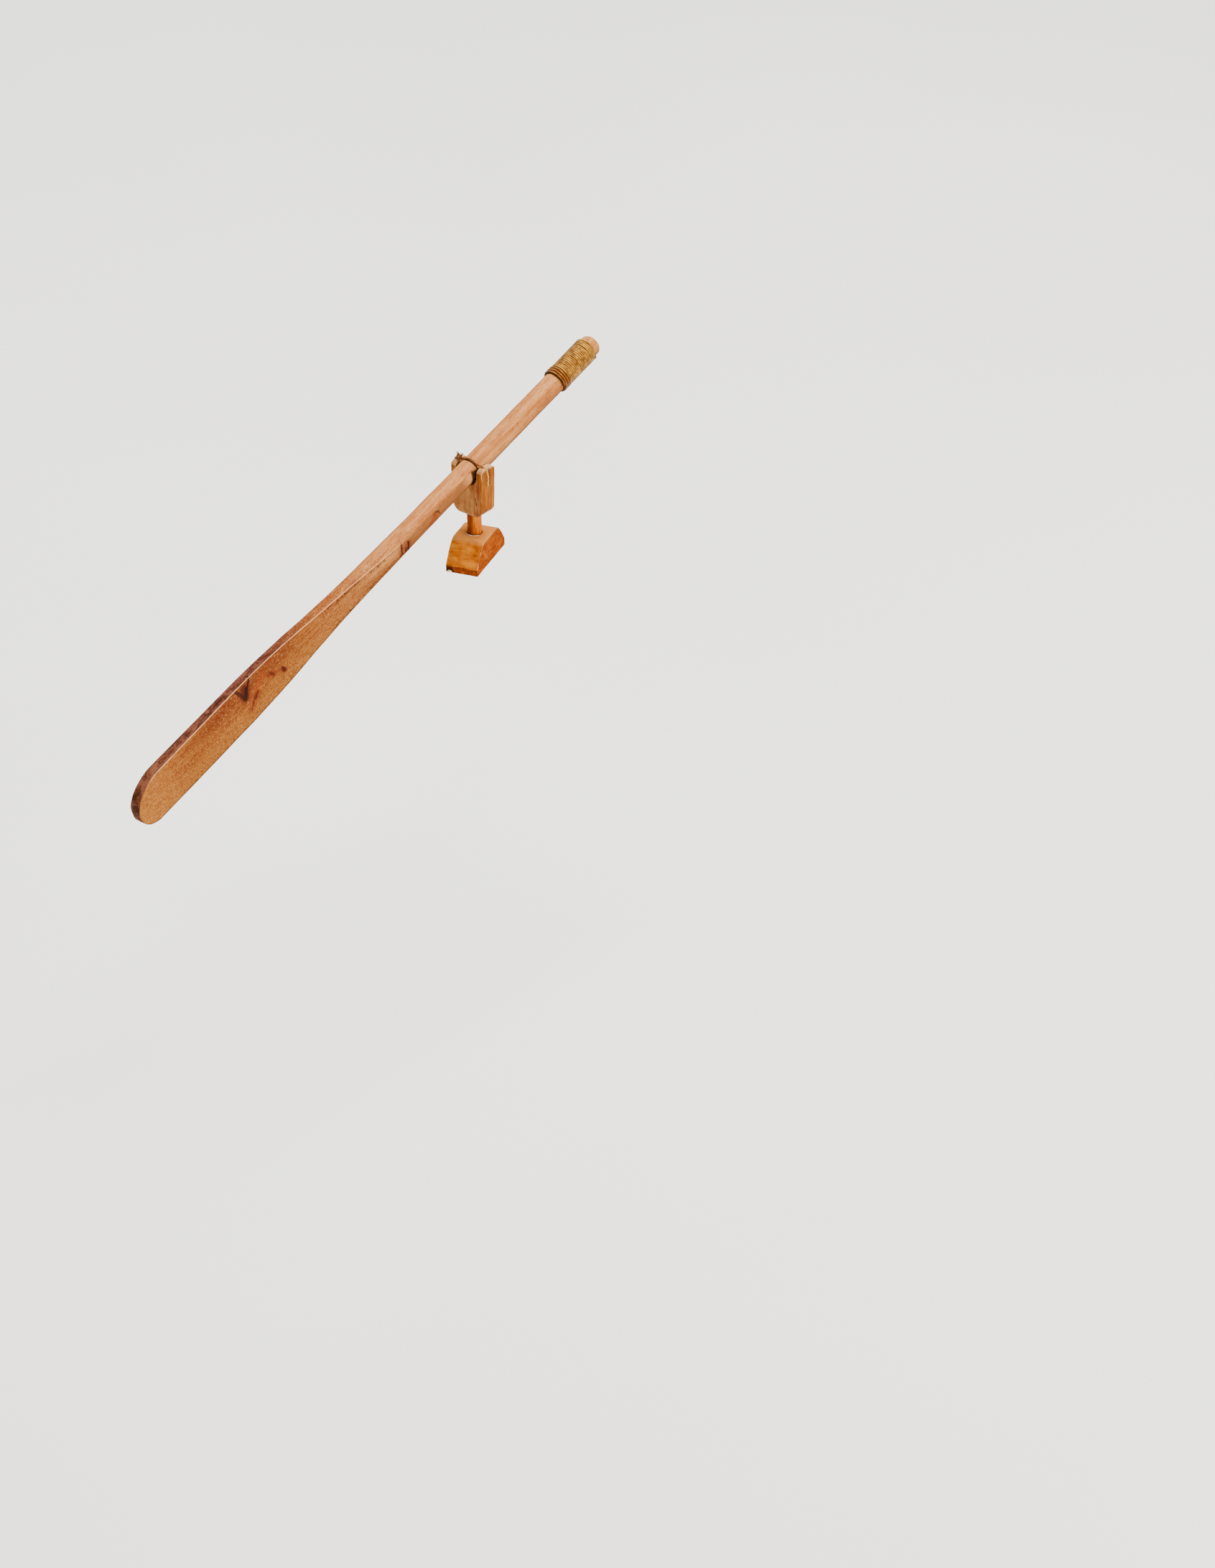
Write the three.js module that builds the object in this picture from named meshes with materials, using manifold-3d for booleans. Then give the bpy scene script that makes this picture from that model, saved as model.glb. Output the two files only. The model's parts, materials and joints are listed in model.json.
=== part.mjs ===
// A scale-model rowing oar, lashed in its wooden rowlock on a gunwale chock.
// Millimetres, +Z up. The origin is the middle of the chock's flat foot. +Y runs along the
// gunwale towards the grip, and +X runs inboard.
import * as THREE from 'three';
import { mergeVertices } from 'three/addons/utils/BufferGeometryUtils.js';
import Module from 'manifold-3d';

// How the oar lies at rest, in degrees.
const SWIVEL_REST = 17.9; // the grip turned inboard of the gunwale's line
const DIP_REST = 18; // the blade below the pivot, the loom resting in its slot

// Chock: a loaf-shaped block with a drilled top.
const CHOCK = { length: 20.4, width: 9.6, height: 8.3, foot: 2.1, topLength: 10.2, bulge: 0.35 };

// Pin: a dowel glued into the crutch that turns in the chock.
const PIN = { radius: 2.07, showing: 6.7, holeFloor: 2, endGap: 0.3, glued: 4.4 };
const RUNNING_GAP = 0.14; // between the pin and its hole in the chock
const GLUE_GAP = 0.15; // between the pin and its hole in the crutch

// Crutch: an upright block with a slot between two horns.
const CRUTCH = { width: 10.2, topWidth: 11.2, thick: 5.8, corner: 2.2, slot: 3.75 };
const CORNER_EASE = 0.2; // how far the lower corners' curves keep from a square corner
const LOOM_ABOVE_CRUTCH = 13.8; // from the crutch's underside up to the level loom's axis
const LOOM_ABOVE_PIVOT = 1.9; // from the horn holes' line up to the loom's axis
const HORN_CROWN = 3.75; // the horn tops are rounded about the horn holes' line
const HORN_HOLE_RADIUS = 0.62;
const SEAT_GAP = 0.2; // between the loom and the slot's lip when the oar rests

// Lashing: one cord from horn to horn over the loom. Its route is given outwards and upwards from
// the middle of the horn holes' line, from one hole's mouth to the top of the loom.
const CORD_RADIUS = 0.4;
const CORD_HALF_ROUTE = [
  [4.7, 0], [5.75, 0], [6.2, 0.5], [6.25, 1.8], [6.1, 3], [5.55, 4.05],
  [4.65, 4.4], [2.9, 4.3], [2, 5.07], [1.05, 5.5], [0, 5.65],
];

// Oar: a turned spindle with two flats cut on it, which leave the blade.
const LOOM_RADIUS = 3.18;
const GRIP_RADIUS = 3.05;
const GRIP_END = 57.2;
const GRIP_DOME = 1.6; // how far the grip's end is rounded
const BLADE = { end: -143.9, halfWidth: 7.15, halfThick: 1.65 };
// The blade's tip, cut to an outline that starts just outside its edges: how far back each corner
// starts, and how far below the middle line the end reaches furthest.
const TIP = { outside: 0.3, upperCorner: 14, lowerCorner: 9.4, noseDrop: 1.25 };

// The spindle's radius at distances along the oar from the rowlock, before the flats are cut.
const SPINDLE = [
  [-146, 7.1], [-120, BLADE.halfWidth], [-100, 7.1], [-90, 6.8], [-80, 6.1], [-70, 5.15],
  [-60, 4.35], [-50, 3.8], [-40, 3.5], [-28, 3.3], [-14, 3.22], [0, LOOM_RADIUS], [20, 3.17],
  [36, 3.14], [GRIP_END - GRIP_DOME, GRIP_RADIUS],
];
// Half the distance between the flats, which run out where the loom is round.
const FLATS = [
  [-146, BLADE.halfThick], [-63, BLADE.halfThick], [-54, 1.9], [-44, 2.35], [-34, 2.78],
  [-25, 3.08], [-16, 3.32],
];

// Whipping: thread wound round the grip, with a few thicker turns at its inner end.
const WHIPPING = { start: 38.3, end: 53.6, inner: 3.24, outer: 3.6, endBevel: 0.25 };
const COLLAR = { turns: 3, pitch: 0.7, outer: 3.82 };

const ROUND_STEPS = 32; // sides of a drilled or turned round
const OAR_SIDES = 40;
const CORD_STEPS = 76;
const CUTTER_EXCESS = 1; // how far a cutting shape reaches past the piece

const crutchFloor = CHOCK.height + PIN.showing;
const loomZ = crutchFloor + LOOM_ABOVE_CRUTCH;
const pivotZ = loomZ - LOOM_ABOVE_PIVOT;
const dip = THREE.MathUtils.degToRad(DIP_REST);

const wasm = await Module();
wasm.setup();

// A closed three.js geometry as a solid, with its shared vertices merged.
function solid(geometry) {
  const plain = geometry.clone();
  plain.deleteAttribute('normal');
  plain.deleteAttribute('uv');
  const merged = mergeVertices(plain, 1e-5);
  const index = merged.index.array;
  const kept = [];
  for (let i = 0; i < index.length; i += 3) {
    const [a, b, c] = [index[i], index[i + 1], index[i + 2]];
    if (a !== b && b !== c && c !== a) kept.push(a, b, c);
  }
  const mesh = new wasm.Mesh({
    numProp: 3,
    vertProperties: Float32Array.from(merged.attributes.position.array),
    triVerts: Uint32Array.from(kept),
  });
  return new wasm.Manifold(mesh);
}

function geometryOf(body) {
  const { vertProperties, triVerts } = body.getMesh();
  const geometry = new THREE.BufferGeometry();
  geometry.setAttribute('position', new THREE.BufferAttribute(Float32Array.from(vertProperties), 3));
  geometry.setIndex(new THREE.BufferAttribute(Uint32Array.from(triVerts), 1));
  geometry.computeVertexNormals();
  return geometry;
}

// A cylinder between two heights on the Z axis.
function zCylinder(radius, low, high, sides) {
  const geometry = new THREE.CylinderGeometry(radius, radius, high - low, sides);
  return geometry.rotateX(Math.PI / 2).translate(0, 0, (low + high) / 2);
}

// An outline in X and Z, extruded evenly to both sides of Y = 0.
function extrudeAlongY(shape, depth) {
  const geometry = new THREE.ExtrudeGeometry(shape, { depth, bevelEnabled: false });
  return geometry.rotateX(Math.PI / 2).translate(0, depth / 2, 0);
}

// An outline in Y and Z, extruded evenly to both sides of X = 0.
function extrudeAlongX(shape, depth) {
  return extrudeAlongY(shape, depth).rotateZ(Math.PI / 2);
}

function chockGeometry() {
  const { length, width, height, foot, topLength, bulge } = CHOCK;
  const shoulder = new THREE.Vector2((length + topLength) / 4 + bulge, (foot + height) / 2 + bulge);
  const outline = new THREE.Shape();
  outline.moveTo(-length / 2, 0);
  outline.lineTo(length / 2, 0);
  outline.lineTo(length / 2, foot);
  outline.quadraticCurveTo(shoulder.x, shoulder.y, topLength / 2, height);
  outline.lineTo(-topLength / 2, height);
  outline.quadraticCurveTo(-shoulder.x, shoulder.y, -length / 2, foot);
  const block = solid(extrudeAlongX(outline, width));
  const hole = zCylinder(PIN.radius + RUNNING_GAP, PIN.holeFloor, height + CUTTER_EXCESS, ROUND_STEPS);
  return geometryOf(block.subtract(solid(hole)));
}

function pinGeometry() {
  const low = PIN.holeFloor + PIN.endGap;
  return zCylinder(PIN.radius, low, crutchFloor + PIN.glued - GLUE_GAP, ROUND_STEPS);
}

// The slot's floor lies just under the loom's lowest line at the crutch's faces when the oar dips.
function slotFloorCentre() {
  const loomCentreAtFace = pivotZ + LOOM_ABOVE_PIVOT / Math.cos(dip) - (CRUTCH.thick / 2) * Math.tan(dip);
  return loomCentreAtFace - LOOM_RADIUS / Math.cos(dip) - SEAT_GAP + CRUTCH.slot;
}

// The crutch seen from the front: a block with eased lower corners, two round-topped horns and
// the slot between them.
function crutchFront() {
  const { corner, slot } = CRUTCH;
  const halfLow = CRUTCH.width / 2;
  const halfTop = CRUTCH.topWidth / 2;
  const hornRound = (halfTop - slot) / 2;
  const hornCentre = pivotZ + HORN_CROWN - hornRound;
  const slotCentre = slotFloorCentre();
  const ease = CORNER_EASE * corner;
  const front = new THREE.Shape();
  front.moveTo(-halfLow + corner, crutchFloor);
  front.lineTo(halfLow - corner, crutchFloor);
  front.quadraticCurveTo(halfLow - ease, crutchFloor + ease, halfLow, crutchFloor + corner);
  front.lineTo(halfTop, hornCentre);
  front.absarc(slot + hornRound, hornCentre, hornRound, 0, Math.PI, false);
  front.lineTo(slot, slotCentre);
  front.absarc(0, slotCentre, slot, 0, Math.PI, true);
  front.lineTo(-slot, hornCentre);
  front.absarc(-slot - hornRound, hornCentre, hornRound, 0, Math.PI, false);
  front.lineTo(-halfLow, crutchFloor + corner);
  front.quadraticCurveTo(-halfLow + ease, crutchFloor + ease, -halfLow + corner, crutchFloor);
  return front;
}

// The crutch seen from the side: flat faces, and horn tops rounded about the horn holes' line.
function crutchSide() {
  const halfThick = CRUTCH.thick / 2;
  const crownAngle = Math.acos(halfThick / HORN_CROWN);
  const side = new THREE.Shape();
  side.moveTo(-halfThick, crutchFloor - CUTTER_EXCESS);
  side.lineTo(halfThick, crutchFloor - CUTTER_EXCESS);
  side.absarc(0, pivotZ, HORN_CROWN, crownAngle, Math.PI - crownAngle, false);
  side.lineTo(-halfThick, crutchFloor - CUTTER_EXCESS);
  return side;
}

function crutchGeometry() {
  const across = CRUTCH.topWidth + 2 * CUTTER_EXCESS;
  const block = solid(extrudeAlongY(crutchFront(), CRUTCH.thick + 2 * CUTTER_EXCESS));
  const shaped = block.intersect(solid(extrudeAlongX(crutchSide(), across)));
  const hornHoles = new THREE.CylinderGeometry(HORN_HOLE_RADIUS, HORN_HOLE_RADIUS, across, ROUND_STEPS / 2);
  hornHoles.rotateZ(Math.PI / 2).translate(0, 0, pivotZ);
  const bottom = crutchFloor - CUTTER_EXCESS;
  const pinHole = zCylinder(PIN.radius + GLUE_GAP, bottom, crutchFloor + PIN.glued, ROUND_STEPS);
  return geometryOf(shaped.subtract(solid(hornHoles)).subtract(solid(pinHole)));
}

// The cord in its own frame: origin on the horn holes' line, X from horn to horn.
function lashingGeometry() {
  const farHalf = CORD_HALF_ROUTE.map(([x, z]) => new THREE.Vector3(-x, 0, z));
  const nearHalf = CORD_HALF_ROUTE.toReversed().slice(1).map(([x, z]) => new THREE.Vector3(x, 0, z));
  const extrudePath = new THREE.CatmullRomCurve3([...farHalf, ...nearHalf], false, 'centripetal');
  const section = new THREE.Shape().absarc(0, 0, CORD_RADIUS, 0, 2 * Math.PI, false);
  return new THREE.ExtrudeGeometry(section, { steps: CORD_STEPS, extrudePath, curveSegments: 8 });
}

function spindleGeometry() {
  const along = new THREE.SplineCurve(SPINDLE.map(([y, radius]) => new THREE.Vector2(radius, y)));
  const profile = [new THREE.Vector2(0, SPINDLE[0][0]), ...along.getPoints(34)];
  const domeSteps = 4;
  for (let i = 1; i < domeSteps; i++) {
    const angle = (i / domeSteps) * (Math.PI / 2);
    const y = GRIP_END - GRIP_DOME * (1 - Math.sin(angle));
    profile.push(new THREE.Vector2(GRIP_RADIUS * Math.cos(angle), y));
  }
  profile.push(new THREE.Vector2(0, GRIP_END));
  return new THREE.LatheGeometry(profile, OAR_SIDES);
}

// What is left between the flats, seen from above, as wide as the whole spindle inboard of them.
function flatsGeometry() {
  const wide = LOOM_RADIUS + CUTTER_EXCESS;
  const runOut = FLATS.at(-1)[0] + 2 * CUTTER_EXCESS;
  const flats = new THREE.SplineCurve(FLATS.map(([y, x]) => new THREE.Vector2(x, y))).getPoints(20);
  const gripEnd = GRIP_END + CUTTER_EXCESS;
  const nearSide = [...flats, new THREE.Vector2(wide, runOut), new THREE.Vector2(wide, gripEnd)];
  const farSide = nearSide.toReversed().map((point) => new THREE.Vector2(-point.x, point.y));
  const depth = 2 * (BLADE.halfWidth + CUTTER_EXCESS);
  const outline = new THREE.Shape([...nearSide, ...farSide]);
  const between = new THREE.ExtrudeGeometry(outline, { depth, bevelEnabled: false });
  return between.translate(0, 0, -depth / 2);
}

// The blade's rounded end, seen from the side: a fuller corner below than above.
function tipGeometry() {
  const { upperCorner, lowerCorner, noseDrop } = TIP;
  const end = BLADE.end;
  const half = BLADE.halfWidth + TIP.outside;
  const outline = new THREE.Shape();
  outline.moveTo(end + upperCorner, half);
  outline.bezierCurveTo(end + 0.35 * upperCorner, half, end, 0.5 * half, end, -noseDrop);
  outline.bezierCurveTo(end, -0.68 * half, end + 0.3 * lowerCorner, -half, end + lowerCorner, -half);
  outline.lineTo(GRIP_END + CUTTER_EXCESS, -half);
  outline.lineTo(GRIP_END + CUTTER_EXCESS, half);
  return extrudeAlongX(outline, 2 * (LOOM_RADIUS + 2 * CUTTER_EXCESS));
}

function oarGeometry() {
  const turned = solid(spindleGeometry());
  return geometryOf(turned.intersect(solid(flatsGeometry())).intersect(solid(tipGeometry())));
}

function whippingGeometry() {
  const { start, end, inner, outer, endBevel } = WHIPPING;
  const profile = [new THREE.Vector2(inner, start)];
  for (let i = 0; i < COLLAR.turns; i++) {
    const turnStart = start + COLLAR.pitch * i;
    profile.push(new THREE.Vector2(outer, turnStart));
    profile.push(new THREE.Vector2(COLLAR.outer, turnStart + 0.3 * COLLAR.pitch));
    profile.push(new THREE.Vector2(COLLAR.outer, turnStart + 0.7 * COLLAR.pitch));
  }
  profile.push(new THREE.Vector2(outer, start + COLLAR.pitch * COLLAR.turns));
  profile.push(new THREE.Vector2(outer, end - endBevel));
  profile.push(new THREE.Vector2(outer - endBevel, end));
  profile.push(new THREE.Vector2(inner, end));
  profile.push(new THREE.Vector2(inner, start));
  return new THREE.LatheGeometry(profile, OAR_SIDES);
}

function finish(color, roughness) {
  return new THREE.MeshStandardMaterial({ color, roughness, metalness: 0 });
}

function piece(name, geometry, material) {
  const mesh = new THREE.Mesh(geometry, material);
  mesh.name = name;
  return mesh;
}

const model = new THREE.Group();
model.add(piece('chock', chockGeometry(), finish('#d08a2c', 0.3)));

const rowlock = new THREE.Group();
rowlock.rotation.z = -THREE.MathUtils.degToRad(SWIVEL_REST);
rowlock.add(piece('crutch', crutchGeometry(), finish('#be966a', 0.55)));
rowlock.add(piece('pin', pinGeometry(), finish('#cd8c3c', 0.45)));
model.add(rowlock);

// The cord's ends turn in the horn holes, so it pitches with the oar.
const pitched = new THREE.Group();
pitched.position.z = pivotZ;
pitched.rotation.x = dip;
pitched.add(piece('lashing', lashingGeometry(), finish('#c9a05a', 0.6)));
rowlock.add(pitched);

const oar = new THREE.Group();
oar.position.z = LOOM_ABOVE_PIVOT;
oar.add(piece('oar', oarGeometry(), finish('#b4763f', 0.45)));
oar.add(piece('grip_whipping', whippingGeometry(), finish('#aa7d3c', 0.5)));
pitched.add(oar);

export default model;
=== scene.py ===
"""A scale-model rowing oar, lashed in its wooden rowlock on a gunwale chock.

Lengths are millimetres until an object is made, and metres from there on.
"""

import json
import math
from types import SimpleNamespace

import bmesh
import bpy
import numpy as np
from mathutils import Matrix, Vector, noise


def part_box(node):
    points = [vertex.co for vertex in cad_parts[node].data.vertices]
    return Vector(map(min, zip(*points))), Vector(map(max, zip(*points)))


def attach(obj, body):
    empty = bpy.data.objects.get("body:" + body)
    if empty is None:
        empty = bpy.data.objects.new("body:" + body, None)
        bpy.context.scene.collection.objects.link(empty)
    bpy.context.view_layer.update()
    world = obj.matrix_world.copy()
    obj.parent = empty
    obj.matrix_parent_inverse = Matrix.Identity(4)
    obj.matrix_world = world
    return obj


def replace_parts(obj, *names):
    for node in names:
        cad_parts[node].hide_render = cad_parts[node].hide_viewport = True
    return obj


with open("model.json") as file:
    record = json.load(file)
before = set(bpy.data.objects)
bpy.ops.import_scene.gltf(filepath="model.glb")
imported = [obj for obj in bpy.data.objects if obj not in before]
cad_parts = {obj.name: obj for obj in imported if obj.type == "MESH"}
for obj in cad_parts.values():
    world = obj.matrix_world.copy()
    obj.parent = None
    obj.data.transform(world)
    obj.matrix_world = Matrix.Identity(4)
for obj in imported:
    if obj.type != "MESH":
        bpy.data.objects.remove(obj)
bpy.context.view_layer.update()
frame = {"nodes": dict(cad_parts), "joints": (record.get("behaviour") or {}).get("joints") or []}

MM = 0.001
PI = math.pi

# ---------------------------------------------------------------- frames of the moving bodies

JOINTS = {joint["name"]: joint for joint in frame["joints"]}


def axes(origin, x, y, z):
    """A matrix from a body's own axes to the row frame, all in metres."""
    turn = Matrix((x, y, z)).transposed().to_4x4()
    return Matrix.Translation(origin) @ turn


UP = Vector((0, 0, 1))
ACROSS = -Vector(JOINTS["pitch"]["axis"]).normalized()  # from horn to horn, inboard
LOOM = Vector(JOINTS["feather"]["axis"]).normalized()  # along the loom, towards the grip
OAR = axes(JOINTS["feather"]["pos_m"], ACROSS, LOOM, ACROSS.cross(LOOM))
LASHING = axes(JOINTS["pitch"]["pos_m"], ACROSS, LOOM, ACROSS.cross(LOOM))
ROWLOCK = axes((0, 0, 0), ACROSS, UP.cross(ACROSS), UP)
CHOCK = Matrix.Identity(4)

# ---------------------------------------------------------------- camera, lights and floor

CAMERA_PLACE = (0.3770, -0.8780, 0.5263)
CAMERA_HEADING, CAMERA_DOWN, CAMERA_ROLL = 21.056, 32.229, -0.63  # degrees; heading left of +Y
CAMERA_LENS = 88.88
FLOOR_DROP = 0.112  # from the chock's foot down to the floor


def make_camera():
    camera = bpy.data.objects.new("camera", bpy.data.cameras.new("camera"))
    camera.data.lens = CAMERA_LENS
    camera.data.sensor_width = 36
    camera.data.clip_start, camera.data.clip_end = 0.05, 20
    heading = Matrix.Rotation(math.radians(CAMERA_HEADING), 4, "Z")
    tilt = Matrix.Rotation(math.radians(90 - CAMERA_DOWN), 4, "X")
    roll = Matrix.Rotation(math.radians(CAMERA_ROLL), 4, "Z")
    camera.matrix_world = Matrix.Translation(CAMERA_PLACE) @ heading @ tilt @ roll
    bpy.context.scene.collection.objects.link(camera)
    bpy.context.scene.camera = camera


def softbox(name, place, size, power, warmth, aim=(0, 0, 0.01)):
    light = bpy.data.objects.new(name, bpy.data.lights.new(name, "AREA"))
    light.data.shape = "RECTANGLE"
    light.data.size, light.data.size_y = size
    light.data.energy = power
    light.data.color = warmth
    light.location = place
    light.rotation_mode = "QUATERNION"
    light.rotation_quaternion = (Vector(aim) - Vector(place)).to_track_quat("-Z", "Y")
    bpy.context.scene.collection.objects.link(light)


def make_studio():
    softbox("key_overhead", (0.16, 0.24, 1.3), (1.0, 1.0), 52, (1.0, 0.985, 0.96))
    softbox("fill_right", (1.1, -0.35, 0.55), (0.7, 0.8), 15, (1.0, 0.97, 0.93))
    softbox("back_left", (-0.9, 0.8, 0.7), (0.8, 0.6), 8, (0.93, 0.96, 1.0))
    world = bpy.data.worlds.new("studio")
    world.use_nodes = True
    world.node_tree.nodes["Background"].inputs["Color"].default_value = (0.95, 0.97, 1.0, 1)
    world.node_tree.nodes["Background"].inputs["Strength"].default_value = 0.55
    bpy.context.scene.world = world


# ---------------------------------------------------------------- building materials


def colour(code):
    """A screen colour such as "c8966e" as linear light."""
    parts = [int(code[i:i + 2], 16) / 255 for i in (0, 2, 4)]
    linear = [c / 12.92 if c <= 0.04045 else ((c + 0.055) / 1.055) ** 2.4 for c in parts]
    return (*linear, 1)


class Finish:
    """One material's nodes. Its functions take sockets, numbers, points and colours alike."""

    def __init__(self, name):
        self.material = bpy.data.materials.new(name)
        self.material.use_nodes = True
        self.tree = self.material.node_tree
        self.tree.nodes.clear()

    def node(self, kind, inputs=(), **settings):
        made = self.tree.nodes.new(kind)
        for key, value in settings.items():
            setattr(made, key, value)
        for key, value in dict(inputs).items():
            self.feed(made.inputs[key], value)
        return made

    def feed(self, socket, value):
        if isinstance(value, bpy.types.NodeSocket):
            self.tree.links.new(value, socket)
        elif isinstance(value, str):
            socket.default_value = colour(value)
        else:
            socket.default_value = value

    def math(self, operation, *values, clamp=False):
        made = self.node("ShaderNodeMath", enumerate(values), operation=operation, use_clamp=clamp)
        return made.outputs[0]

    def times(self, first, *others):
        product = first
        for other in others:
            product = self.math("MULTIPLY", product, other)
        return product

    def plus(self, first, second):
        return self.math("ADD", first, second)

    def minus(self, first, second):
        return self.math("SUBTRACT", first, second)

    def larger(self, first, second):
        return self.math("MAXIMUM", first, second)

    def size(self, value):
        """The value without its sign."""
        return self.math("ABSOLUTE", value)

    def vector(self, operation, *values):
        made = self.node("ShaderNodeVectorMath", enumerate(values), operation=operation)
        return made.outputs["Value" if operation in ("DOT_PRODUCT", "LENGTH", "DISTANCE") else "Vector"]

    def scaled(self, point, factors):
        return self.vector("MULTIPLY", point, factors)

    def millimetres(self):
        """The surface point in the piece's own axes."""
        place = self.node("ShaderNodeTexCoord").outputs["Object"]
        return self.scaled(place, (1 / MM,) * 3)

    def split(self, point):
        return self.node("ShaderNodeSeparateXYZ", {0: point}).outputs

    def join(self, x, y, z):
        return self.node("ShaderNodeCombineXYZ", {0: x, 1: y, 2: z}).outputs[0]

    def attribute(self, name):
        return self.node("ShaderNodeAttribute", attribute_name=name).outputs["Fac"]

    def noise(self, point, scale, detail=3.0, roughness=0.5, distortion=0.0):
        inputs = {"Vector": point, "Scale": scale, "Detail": detail, "Roughness": roughness,
                  "Distortion": distortion}
        return self.node("ShaderNodeTexNoise", inputs).outputs[0]

    def stretched_noise(self, point, stretch, **noise_settings):
        """Noise whose features are 1 / stretch millimetres across along each axis."""
        return self.noise(self.scaled(point, stretch), 1.0, **noise_settings)

    def ramp(self, factor, stops):
        made = self.node("ShaderNodeValToRGB", {0: factor})
        elements = made.color_ramp.elements
        while len(elements) < len(stops):
            elements.new(0.5)
        for element, (position, code) in zip(elements, stops):
            element.position = position
            element.color = colour(code)
        return made.outputs[0]

    def fade(self, value, start, end, low=0.0, high=1.0):
        """low before start, high after end, and smooth between them."""
        made = self.node("ShaderNodeMapRange", {0: value, 1: start, 2: end, 3: low, 4: high},
                         interpolation_type="SMOOTHSTEP")
        return made.outputs[0]

    def mix(self, factor, a, b):
        """Colour a where factor is 0, and colour b where it is 1."""
        made = self.node("ShaderNodeMix", {0: factor, 6: a, 7: b}, data_type="RGBA", blend_type="MIX")
        return made.outputs[2]

    def stroke(self, point, start, end, width, soft):
        """1 within width of the line from start to end, fading out over soft more."""
        start, end = Vector(start), Vector(end)
        along = end - start
        offset = self.vector("SUBTRACT", point, tuple(start))
        share = self.vector("DOT_PRODUCT", offset, tuple(along / along.length_squared))
        share = self.math("MAXIMUM", share, 0.0, clamp=True)
        foot = self.vector("MULTIPLY", self.join(share, share, share), tuple(along))
        distance = self.vector("LENGTH", self.vector("SUBTRACT", offset, foot))
        return self.fade(distance, width, width + soft, 1.0, 0.0)

    def bump(self, height, depth, normal=None):
        """A bump of height times depth millimetres."""
        inputs = {"Height": height, "Distance": depth * MM, "Strength": 1.0}
        if normal is not None:
            inputs["Normal"] = normal
        return self.node("ShaderNodeBump", inputs).outputs[0]

    def finish(self, inputs, **constants):
        shader = self.node("ShaderNodeBsdfPrincipled", inputs)
        for key, value in constants.items():
            shader.inputs[key.replace("_", " ")].default_value = value
        output = self.node("ShaderNodeOutputMaterial")
        self.tree.links.new(shader.outputs[0], output.inputs["Surface"])
        return self.material


# ---------------------------------------------------------------- building pieces


def new_piece(name, vertices, faces, place, body, material, attributes=()):
    """A smooth mesh given in millimetres in a body's own axes, riding on that body."""
    mesh = bpy.data.meshes.new(name)
    mesh.from_pydata([tuple(v) for v in np.asarray(vertices, float) * MM], [], faces)
    mesh.update()
    for key, values in dict(attributes).items():
        mesh.attributes.new(key, "FLOAT", "POINT").data.foreach_set("value", np.asarray(values, np.float32))
    mesh.polygons.foreach_set("use_smooth", [True] * len(mesh.polygons))
    mesh.materials.append(material)
    piece = bpy.data.objects.new(name, mesh)
    bpy.context.scene.collection.objects.link(piece)
    piece.matrix_world = place
    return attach(piece, body)


def ring_faces(rings, sides, start=0):
    """Quads between rings of vertices that follow each other, each closed round."""
    faces = []
    for i in range(rings - 1):
        for j in range(sides):
            a, b = start + i * sides + j, start + i * sides + (j + 1) % sides
            faces.append((a, b, b + sides, a + sides))
    return faces


def end_caps(rings, sides, start=0):
    first = tuple(start + j for j in reversed(range(sides)))
    last = tuple(start + (rings - 1) * sides + j for j in range(sides))
    return [first, last]


def curve_through(points, step):
    """Points about step apart on a smooth curve through given ones."""
    points = [Vector(p) for p in points]
    padded = [2 * points[0] - points[1], *points, 2 * points[-1] - points[-2]]
    found = []
    for a, b, c, d in zip(padded, padded[1:], padded[2:], padded[3:]):
        count = max(2, round((c - b).length / step))
        for i in range(count):
            t = i / count
            found.append(0.5 * (2 * b + (c - a) * t + (2 * a - 5 * b + 4 * c - d) * t * t
                                + (3 * b - a - 3 * c + d) * t ** 3))
    return [*found, points[-1]]


def carried_frames(path):
    """A tangent and two normals at each point, turning as little as possible along the path."""
    tangents = [(b - a).normalized() for a, b in zip(path, path[1:])]
    tangents = [tangents[0], *[(a + b).normalized() for a, b in zip(tangents, tangents[1:])], tangents[-1]]
    normal = tangents[0].orthogonal().normalized()
    frames = []
    for tangent in tangents:
        normal = (normal - tangent * normal.dot(tangent)).normalized()
        frames.append((tangent, normal, tangent.cross(normal)))
    return frames


def tube(path, radii, sides, widen=1.0):
    """A closed tube, widened along Y: its vertices, faces, and their distances along and turns round it."""
    vertices, along, around = [], [], []
    distance = 0.0
    for i, (point, (_, u, v)) in enumerate(zip(path, carried_frames(path))):
        distance += (point - path[i - 1]).length if i else 0.0
        for j in range(sides):
            angle = 2 * PI * j / sides
            offset = radii[i] * (u * math.cos(angle) + v * math.sin(angle))
            vertices.append(point + offset * Vector((1, widen, 1)))
            along.append(distance)
            around.append(j / sides)
    faces = ring_faces(len(path), sides) + end_caps(len(path), sides)
    return vertices, faces, along, around


def joined(parts):
    """Several tubes as one mesh's vertices, faces and attributes."""
    vertices, faces, along, around = [], [], [], []
    for part_vertices, part_faces, part_along, part_around in parts:
        shift = len(vertices)
        vertices += part_vertices
        faces += [tuple(i + shift for i in face) for face in part_faces]
        along += part_along
        around += part_around
    return vertices, faces, {"along": along, "around": around}


def wander(point, size, amount, seed):
    """Smooth drift of a hand-worked surface: features of about size, up to amount."""
    return amount * noise.noise(Vector(point) / size + Vector((seed, seed * 1.7, -seed)))


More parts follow.
